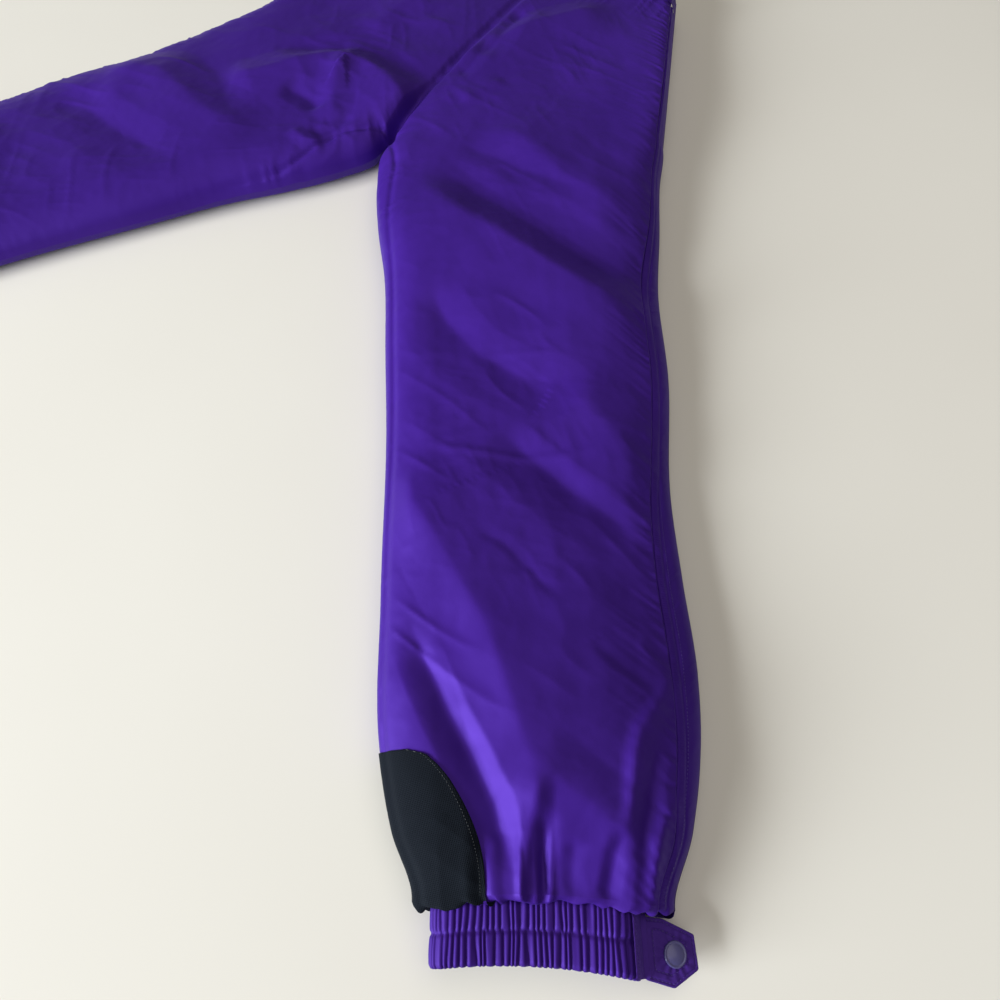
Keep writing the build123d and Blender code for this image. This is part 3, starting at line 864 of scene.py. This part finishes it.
def make_guard(hand, side):
    """Hard-wearing patch over the inner ankle, front and back, with a stitched curved border."""
    at = np.concatenate((np.linspace(guard_top, 565, 12), np.arange(567, ankle_drop, 2.0), [ankle_drop]))
    inner = -curve(at, inner_reach)
    span = curve(at, guard_border) - inner
    t = np.linspace(0, 1, 44)
    across = span[:, None] * t[None, :]
    top = place(at, across, side, "front")
    fade = smooth(across, 0, 5)
    top[..., 2] += 0.95 * fade
    bottom = place(at, across, side, "back")
    bottom[..., 2] = np.maximum(bottom[..., 2] - 0.9, 0.05)
    top += -outward3 * (0.95 * (1 - fade))[..., None]
    bottom[:, 1:4] += -outward3 * np.array((0.9, 0.6, 0.2))[None, :, None]
    edge_top = top[:, -1:] + np.array((0, 0, -1.1))
    edge_top[-4:] = top[-4:, -1:] + np.array((0, 0, -0.3))
    guard = np.concatenate((bottom[:, :0:-1], top, edge_top), axis=1)
    first = guard[:1] + down3 * 0.2
    level = guard[:1, :, 2:3]
    first = np.concatenate((first[..., :2], np.where(level > 9, level - 1.1, level + 0.6)), axis=2)
    guard = np.concatenate((first, guard))
    guard = tuck_rows(guard, 8.0, 5.0)
    piece = sheet_piece(f"{hand}_guard", guard, side, guard_cloth, True)
    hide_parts(f"{hand}_scuff_guard")
    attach(piece, f"{hand}_shin")
    line = mirrored(top[:, 40], side)
    marks = stitch_mesh(f"{hand}_guard_stitches", line[:-1] * 0.85 + line[1:] * 0.15,
                        line[:-1] * 0.25 + line[1:] * 0.75, guard_thread)
    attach(marks, f"{hand}_shin")


# ---------------------------------------------------------------- gathered cuffs


def make_cuff(hand, side):
    """Elastic cuff: cloth gathered round it, pinched in along a line round its middle."""
    count, half, radius, middle, height = 1024, 48.5, 16.4, 4.0, 17.0
    loop = 4 * half + 2 * pi * radius
    s = np.arange(count) / count
    d = s * loop
    u, z, nu, nz = (np.zeros(count) for _ in range(4))
    spans = ((0, 2 * half), (2 * half, 2 * half + pi * radius),
             (2 * half + pi * radius, 4 * half + pi * radius), (4 * half + pi * radius, loop))
    for k, (a, b) in enumerate(spans):
        on = (d >= a) & (d < b)
        if k % 2 == 0:
            way = 1 if k == 0 else -1
            u[on] = way * (-half + d[on] - a)
            z[on], nz[on] = way * radius, way
        else:
            way = 1 if k == 1 else -1
            turn = (d[on] - a) / radius
            nu[on], nz[on] = way * np.sin(turn), way * np.cos(turn)
            u[on], z[on] = way * half + radius * nu[on], radius * nz[on]
    t = np.linspace(0, 1, 46)
    top, hem, stitched, gathers = 630.0, 677.5, 659.0, 74
    warp = 1.6 * noise(s * 64, s * 0 + 1.5, 101 + side)
    rows = []
    for value in t:
        at = top + (hem - top) * value
        above = at < stitched
        shift = (0.9 if above else 1.7) * noise(s * 64, s * 0 + (3.5 if above else 6.5), 103 + side)
        drift = 0.5 * noise(s * 64, s * 0 + value * 3, 107)
        wave = np.abs(np.sin(pi * gathers * s + warp + shift + drift)) ** 0.75
        pinch = np.exp(-(((at - stitched) / 1.3) ** 2))
        from_start, puff_span = (at - 640, 19.0) if above else (at - stitched, 18.5)
        puff = sin(pi * np.clip(from_start / puff_span, 0, 1))
        near_hem = smooth(at, hem - 3, hem)
        under_edge = 1 - smooth(at, 636, 646)
        swell = ((1.5 * wave * (1 - 0.4 * pinch) - 1.0) + 0.45 * puff - 0.4 * pinch
                 - 1.2 * near_hem ** 2 - 3.0 * under_edge)
        hem_bend = 5.0 * (u / 65.0) ** 2 + 3.2 * u / 65.0 - 3.6 + 0.5 * wave * value
        share = float(smooth(at, 640, hem))
        rows.append((at + hem_bend * share + cuff_bend(u + middle) * (1 - share), swell))
    end, swell = rows[-1]
    turned_in = ((0.2, 1.0, -1.2), (-2.0, 0.3, -2.6), (-14.0, 0.2, -3.0), (-40.0, 0.2, -3.0))
    inner_rows = [(end + ahead, swell * share + inward) for ahead, share, inward in turned_in]
    points = []
    for at, swell in rows + inner_rows:
        xy = on_leg(middle + u + nu * swell, 0 * u)
        xy = xy + at[:, None] * down
        points.append(np.column_stack((xy, np.maximum(height + z + nz * swell, 0.2))))
    tube = np.array(points)[:, ::-1] if side < 0 else np.array(points)
    tube = mirrored(tube, side)
    r, c = tube.shape[:2]
    piece = make_mesh(f"{hand}_cuff", tube.reshape(-1, 3), grid_faces(r, c, False, wrap=True), cuff_cloth)
    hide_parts(f"{hand}_cuff_casing", f"{hand}_cuff_elastic")
    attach(piece, f"{hand}_shin")
    make_cuff_elastic(hand, side, middle + u * 0.955, height + z * 0.86)


def make_cuff_elastic(hand, side, out, z):
    """The elastic inside the cuff: a plain band a little smaller than the cloth."""
    band = [np.column_stack((on_leg(out, 0 * out + at), z)) for at in (645, 650, 660, 672)]
    ring = mirrored(np.array(band), side)
    faces = grid_faces(len(band), len(out), side < 0, wrap=True)
    elastic = make_mesh(f"{hand}_cuff_elastic_band", ring.reshape(-1, 3), faces, elastic_cloth)
    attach(elastic, f"{hand}_shin")


# ---------------------------------------------------------------- cuff tabs

tab_root = (70.4, 665.0, 20.0)
tab_tilt = radians(15.0)
tab_thickness = 1.6
under_level = -4.9                 # the tab under it lies this far below
snap_spot = (20.5, -4.0)
tab_outline = ((0.4, 17), (14, 15.5), (35, 6.5), (36, -12.5), (19, -22), (0.4, -17))
under_outline = ((0.2, 16), (14, 14), (33, 5.5), (32, -12), (16, -20.5), (0.2, -16))


def tab_place(x, y, z):
    out = tab_root[0] + x * cos(tab_tilt) + z * sin(tab_tilt)
    xy = on_leg(out, tab_root[1] - np.asarray(y, float) + 0 * out)
    return np.stack((xy[..., 0], xy[..., 1], tab_root[2] - x * sin(tab_tilt) + z * cos(tab_tilt)), -1)


def outline_points(outline, count, rounding=1.6):
    """Evenly spaced points round a polygon with slightly rounded corners."""
    corners = np.array(outline, float)
    path = []
    for k, p in enumerate(corners):
        before, after = corners[k - 1], corners[(k + 1) % len(corners)]
        a = p + (before - p) / np.linalg.norm(before - p) * rounding
        b = p + (after - p) / np.linalg.norm(after - p) * rounding
        for t in np.linspace(0, 1, 6):
            path.append((1 - t) ** 2 * a + 2 * t * (1 - t) * p + t * t * b)
    path = np.array(path + [path[0]])
    run = np.append(0, np.cumsum(np.linalg.norm(np.diff(path, axis=0), axis=1)))
    at = np.linspace(0, run[-1], count, endpoint=False)
    return np.column_stack((np.interp(at, run, path[:, 0]), np.interp(at, run, path[:, 1])))


def polygon_distance(p, outline):
    corners = np.array(outline, float)
    best = np.full(p.shape[:-1], 1e9)
    for a, b in zip(corners, np.roll(corners, -1, axis=0)):
        e = b - a
        t = np.clip(((p - a) @ e) / (e @ e), 0, 1)
        best = np.minimum(best, np.linalg.norm(p - a - t[..., None] * e, axis=-1))
    return best


def closed_faces(rows, around, flip, turned):
    """Faces of a tube of points with both its ends closed."""
    faces = grid_faces(rows, around, flip, wrap=True).tolist()
    first = list(range(around))
    last = list(range((rows - 1) * around, rows * around))
    faces.append(last if turned else last[::-1])
    faces.append(first[::-1] if turned else first)
    return faces


def tab_mesh(name, outline, level, thickness, side, material, seed):
    """A double-stitched tab: two layers sewn together along two lines inside its edge."""
    count, rings = 220, 46
    rim = outline_points(outline, count)
    centre = np.array(snap_spot)
    t = np.linspace(1, 0, rings, endpoint=False) ** 0.9
    flat = centre + (rim - centre)[None, :, :] * t[:, None, None]
    edge = polygon_distance(flat, outline)
    puff = 0.55 * thickness * (0.35 + 0.65 * round_edge(edge, 2.4))
    for line in (1.9, 6.4):
        puff = puff - 0.42 * np.exp(-(((edge - line) / 0.55) ** 2))
    puff = puff + 0.16 * noise(flat[..., 0] / 2.6, flat[..., 1] / 2.6, seed)
    to_snap = np.linalg.norm(flat - centre, axis=-1)
    pull = np.exp(-((to_snap - 8) / 7.0) ** 2)
    angle = np.arctan2(flat[..., 1] - centre[1], flat[..., 0] - centre[0])
    puff = puff + 0.22 * pull * np.sin(angle * 13 + seed)
    crown = level + thickness / 2
    wave = 0.5 * np.sin(flat[..., 0] / 9.0 + seed) * smooth(flat[..., 0], 3, 30)
    upper_face = tab_place(flat[..., 0], flat[..., 1], crown + puff + wave * 0.3)
    lower_face = tab_place(flat[..., 0], flat[..., 1], crown - 0.5 * puff - thickness * 0.25 + wave * 0.3)
    points = np.concatenate((lower_face[::-1], upper_face))
    faces = closed_faces(*points.shape[:2], side < 0, side < 0)
    return make_mesh(name, mirrored(points, side).reshape(-1, 3), faces, material)


def tab_stitches(name, outline, thickness, side):
    """Two lines of thread round the top of the tab."""
    rim = outline_points(outline, 400)
    starts, ends = [], []
    for inset in (1.9, 6.4):
        centre = rim.mean(0)
        shrunk = []
        for p in rim:
            way = centre - p
            step = way / np.linalg.norm(way)
            low, high = 0.0, 14.0
            for _ in range(12):
                mid = (low + high) / 2
                if polygon_distance((p + step * mid)[None], outline)[0] < inset:
                    low = mid
                else:
                    high = mid
            shrunk.append(p + step * high)
        path = np.array(shrunk + [shrunk[0]])
        run = np.append(0, np.cumsum(np.linalg.norm(np.diff(path, axis=0), axis=1)))
        for at in np.arange(0, run[-1], 2.6):
            for points, spot in ((starts, at), (ends, at + 1.9)):
                x, y = (np.interp(spot, run, path[:, i]) for i in (0, 1))
                points.append(tab_place(x, y, thickness * 0.86))
    starts, ends = mirrored(np.array(starts), side), mirrored(np.array(ends), side)
    return stitch_mesh(name, starts, ends, thread, 0.2, 0.05)


def snap_cap(name, side):
    """Moulded snap cap: a raised rim, a groove and a low dome."""
    profile = ((7.5, 0.0), (7.55, 0.7), (7.45, 1.25), (7.1, 1.6), (6.65, 1.68), (6.3, 1.5), (6.0, 1.42),
               (5.7, 1.5),
               (5.2, 1.72), (4.2, 1.98), (2.8, 2.2), (1.4, 2.3), (0.4, 2.33))
    count = 96
    turn = np.arange(count) * 2 * pi / count
    rows = []
    for radius, z in profile:
        x, y = snap_spot[0] + radius * np.cos(turn), snap_spot[1] + radius * np.sin(turn)
        rows.append(tab_place(x, y, tab_thickness + z))
    faces = closed_faces(len(profile), count, side < 0, side > 0)
    return make_mesh(name, mirrored(np.array(rows), side).reshape(-1, 3), faces, snap_finish)


def root_patch(hand, side):
    """The end of the tab's cloth, sewn over the end of the cuff."""
    y = np.linspace(17.4, -17.4, 40)
    x = np.linspace(-9.6, 2.2, 26)
    gx, gy = np.meshgrid(x, y)
    edge = np.minimum.reduce((gx - x[0], 17.4 - np.abs(gy)))
    z = curve(gx, ((-9.6, 9.4), (-8, 8.6), (-6.5, 7.7), (-5, 5.9), (-3.5, 4.6), (-2, 2.9), (-0.5, 2.3),
                   (2.2, 2.4)))
    z = z + 0.5 * round_edge(edge, 1.6) - 0.35 * np.exp(-(((edge - 2.0) / 0.5) ** 2))
    z = z + 0.25 * noise(gx / 3.0, gy / 3.0, 151) + 0.4 * np.abs(np.sin(gy * 0.95)) * smooth(-gx, -2, 9)
    z = z - 0.35 * np.exp(-(((gx + 1.2) / 0.5) ** 2))
    tilt = gy + 1.0 - 0.06 * gx
    points = tab_place(gx, tilt, z)
    piece = sheet_piece(f"{hand}_tab_root", points, side, tab_cloth, True)
    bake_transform(piece)
    line = mirrored(points[:, 5], side)
    marks = stitch_mesh(f"{hand}_tab_root_stitches", line[:-1:2], line[1::2], thread, 0.2, 0.05)
    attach(marks, f"{hand}_shin")


def make_tab(hand, side):
    root_patch(hand, side)
    tab = tab_mesh(f"{hand}_snap_tab", tab_outline, 0.0, tab_thickness, side, tab_cloth, 111)
    under = tab_mesh(f"{hand}_under_tab", under_outline, under_level, tab_thickness, side, tab_cloth, 113)
    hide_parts(f"{hand}_cuff_tab")
    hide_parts(f"{hand}_cuff_under_tab")
    for piece, body in ((tab, f"{hand}_cuff_tab"), (under, f"{hand}_shin")):
        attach(piece, body)
    marks = tab_stitches(f"{hand}_tab_stitches", tab_outline, tab_thickness, side)
    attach(marks, f"{hand}_cuff_tab")
    cap = snap_cap(f"{hand}_snap_cap_dome", side)
    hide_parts(f"{hand}_cuff_snap_cap")
    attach(cap, f"{hand}_cuff_tab")


# ---------------------------------------------------------------- waistband


def make_waistband():
    """Front and back of the elastic waistband, gathered more at the back, turned in at the top."""
    q = np.linspace(-1, 1, 520)
    heights = []
    row = np.array([waist_drop])
    for side in (1, -1):
        span = widths(row)[0]
        across = np.linspace(0, span, 261)[None, :]
        front = place(row, across, side, "front")
        heights.append(np.interp(np.abs(q), across[0] / span, front[0, :, 2]))
    shell = np.where(q >= 0, heights[0], heights[1])
    low_side = curve(waist_drop, outer_edge_height)
    t = np.concatenate((np.linspace(-0.04, 1, 30), np.array((1.02, 1.0, 0.85, 0.3))))
    lining_side = np.concatenate((np.zeros(30), np.array((0.5, 1.0, 1.0, 1.0))))
    for name, top_face in (("front", True), ("back", False)):
        rows = []
        for value, inside in zip(t, lining_side):
            y = band_low + (band_high - band_low) * value
            half = waist_half + (band_high - y) * np.tan(side_slope)
            amount = 1.4 if top_face else 1.6
            drift = 1.2 * noise(q * 17, q * 0 + value * 1.2, 121)
            wave = np.abs(np.sin(pi * (46 if top_face else 70) * q / 2 + drift))
            hold = np.exp(-(((value - 0.5) / 0.05) ** 2)) + np.exp(-(((value - 0.03) / 0.05) ** 2))
            swell = amount * wave ** 0.8 * (1 - 0.6 * hold) - 0.5 * hold
            edge = round_edge(1 - np.abs(q), 0.055)
            if top_face:
                body = np.where(inside > 0, 0, swell)
                above_side = shell * (1 - 0.10 * value) + 0.5 - low_side + body
                z = low_side + above_side * edge - 3.4 * inside * edge
                z = np.maximum(z, low_side)
            else:
                z = low_side * (1 - edge) + np.maximum(1.6 - swell, 0.3) * edge + 3.4 * inside * edge
            y -= 1.4 * (inside == 0) * (value > 0.985)
            rows.append(np.column_stack((half * q, np.full(q.shape, y), z)))
        grid = np.array(rows)
        r, c = grid.shape[:2]
        piece = make_mesh(f"{name}_band", grid.reshape(-1, 3), grid_faces(r, c, top_face), cuff_cloth)
        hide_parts(f"{name}_waistband")
        if not top_face:
            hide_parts("waist_elastic")
        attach(piece, "hips")


def finish_hardware():
    """Materials of the CAD parts that show as they are."""
    finishes = {"zip_slider": (slider_finish, "slider_metal"), "zip_pull": (slider_finish, "slider_metal"),
                "side_zip_top_stops": (steel_finish, "stop_metal"),
                "cuff_snap_socket": (steel_finish, "snap_metal"),
                "cuff_snap_stud": (steel_finish, "snap_metal")}
    for node in frame["nodes"]:
        for ending, (finish, slot) in finishes.items():
            if node.endswith(ending):
                obj = bpy.data.objects[node]
                obj.data.materials.clear()
                obj.data.materials.append(finish)


for hand, side in (("left", 1), ("right", -1)):
    make_guard(hand, side)
    make_cuff(hand, side)
    make_tab(hand, side)
make_waistband()
finish_hardware()


# ---------------------------------------------------------------- floor, light and camera


def make_floor():
    material, tree, shader = new_material("floor_finish", (0.8, 0.77, 0.7), 0.8, Specular_IOR_Level=0.2)
    patchy_colour(tree, shader, object_noise(tree, 1.6, 3.0), (0.74, 0.71, 0.645), (0.78, 0.755, 0.69))
    size, level = 6000.0, -0.4
    corners = [(x * size, y * size, level) for x, y in ((-1, -1), (1, -1), (1, 1), (-1, 1))]
    floor = make_mesh("floor", np.array(corners), [(0, 1, 2, 3)], material)


def camera_side(right, up, height):
    """A place given to the right of, beyond and above the camera's foot, seen as the camera sees it."""
    foot = on_leg(-17.5, 626.0)
    spot = foot + right * outward - up * down
    return Vector((spot[0] * MM, spot[1] * MM, height * MM))


def make_camera():
    focal, sensor = 27.04, 36.0
    tilt = radians(63.37)
    above_cloth, cloth_top = 511.8, 46.0
    data = bpy.data.cameras.new("camera")
    data.lens, data.sensor_width = focal, sensor
    camera = bpy.data.objects.new("camera", data)
    bpy.context.scene.collection.objects.link(camera)
    camera.location = camera_side(0, 0, cloth_top + above_cloth)
    look = Vector((-down[0] * cos(tilt), -down[1] * cos(tilt), -sin(tilt)))
    camera.rotation_euler = look.to_track_quat("-Z", "Y").to_euler()
    bpy.context.scene.camera = camera


def area_light(name, spot, target, width, height, power, colour):
    data = bpy.data.lights.new(name, "AREA")
    data.shape = "RECTANGLE"
    data.size, data.size_y, data.energy, data.color = width, height, power, colour
    lamp = bpy.data.objects.new(name, data)
    lamp.location = spot
    lamp.rotation_euler = (target - spot).to_track_quat("-Z", "Y").to_euler()
    bpy.context.scene.collection.objects.link(lamp)


def make_light():
    target = camera_side(20, 330, 30)
    area_light("window", camera_side(-3900, -1600, 1450), target, 2.6, 1.9, 455, (0.92, 0.965, 1.0))
    area_light("ceiling", camera_side(500, 500, 2900), target, 3.2, 3.2, 33, (1.0, 0.95, 0.88))
    world = bpy.data.worlds.new("room")
    bpy.context.scene.world = world
    world.use_nodes = True
    world.node_tree.nodes["Background"].inputs["Color"].default_value = (1.0, 0.96, 0.9, 1)
    world.node_tree.nodes["Background"].inputs["Strength"].default_value = 0.16
    bpy.context.scene.view_settings.view_transform = "Standard"


make_floor()
make_camera()
make_light()
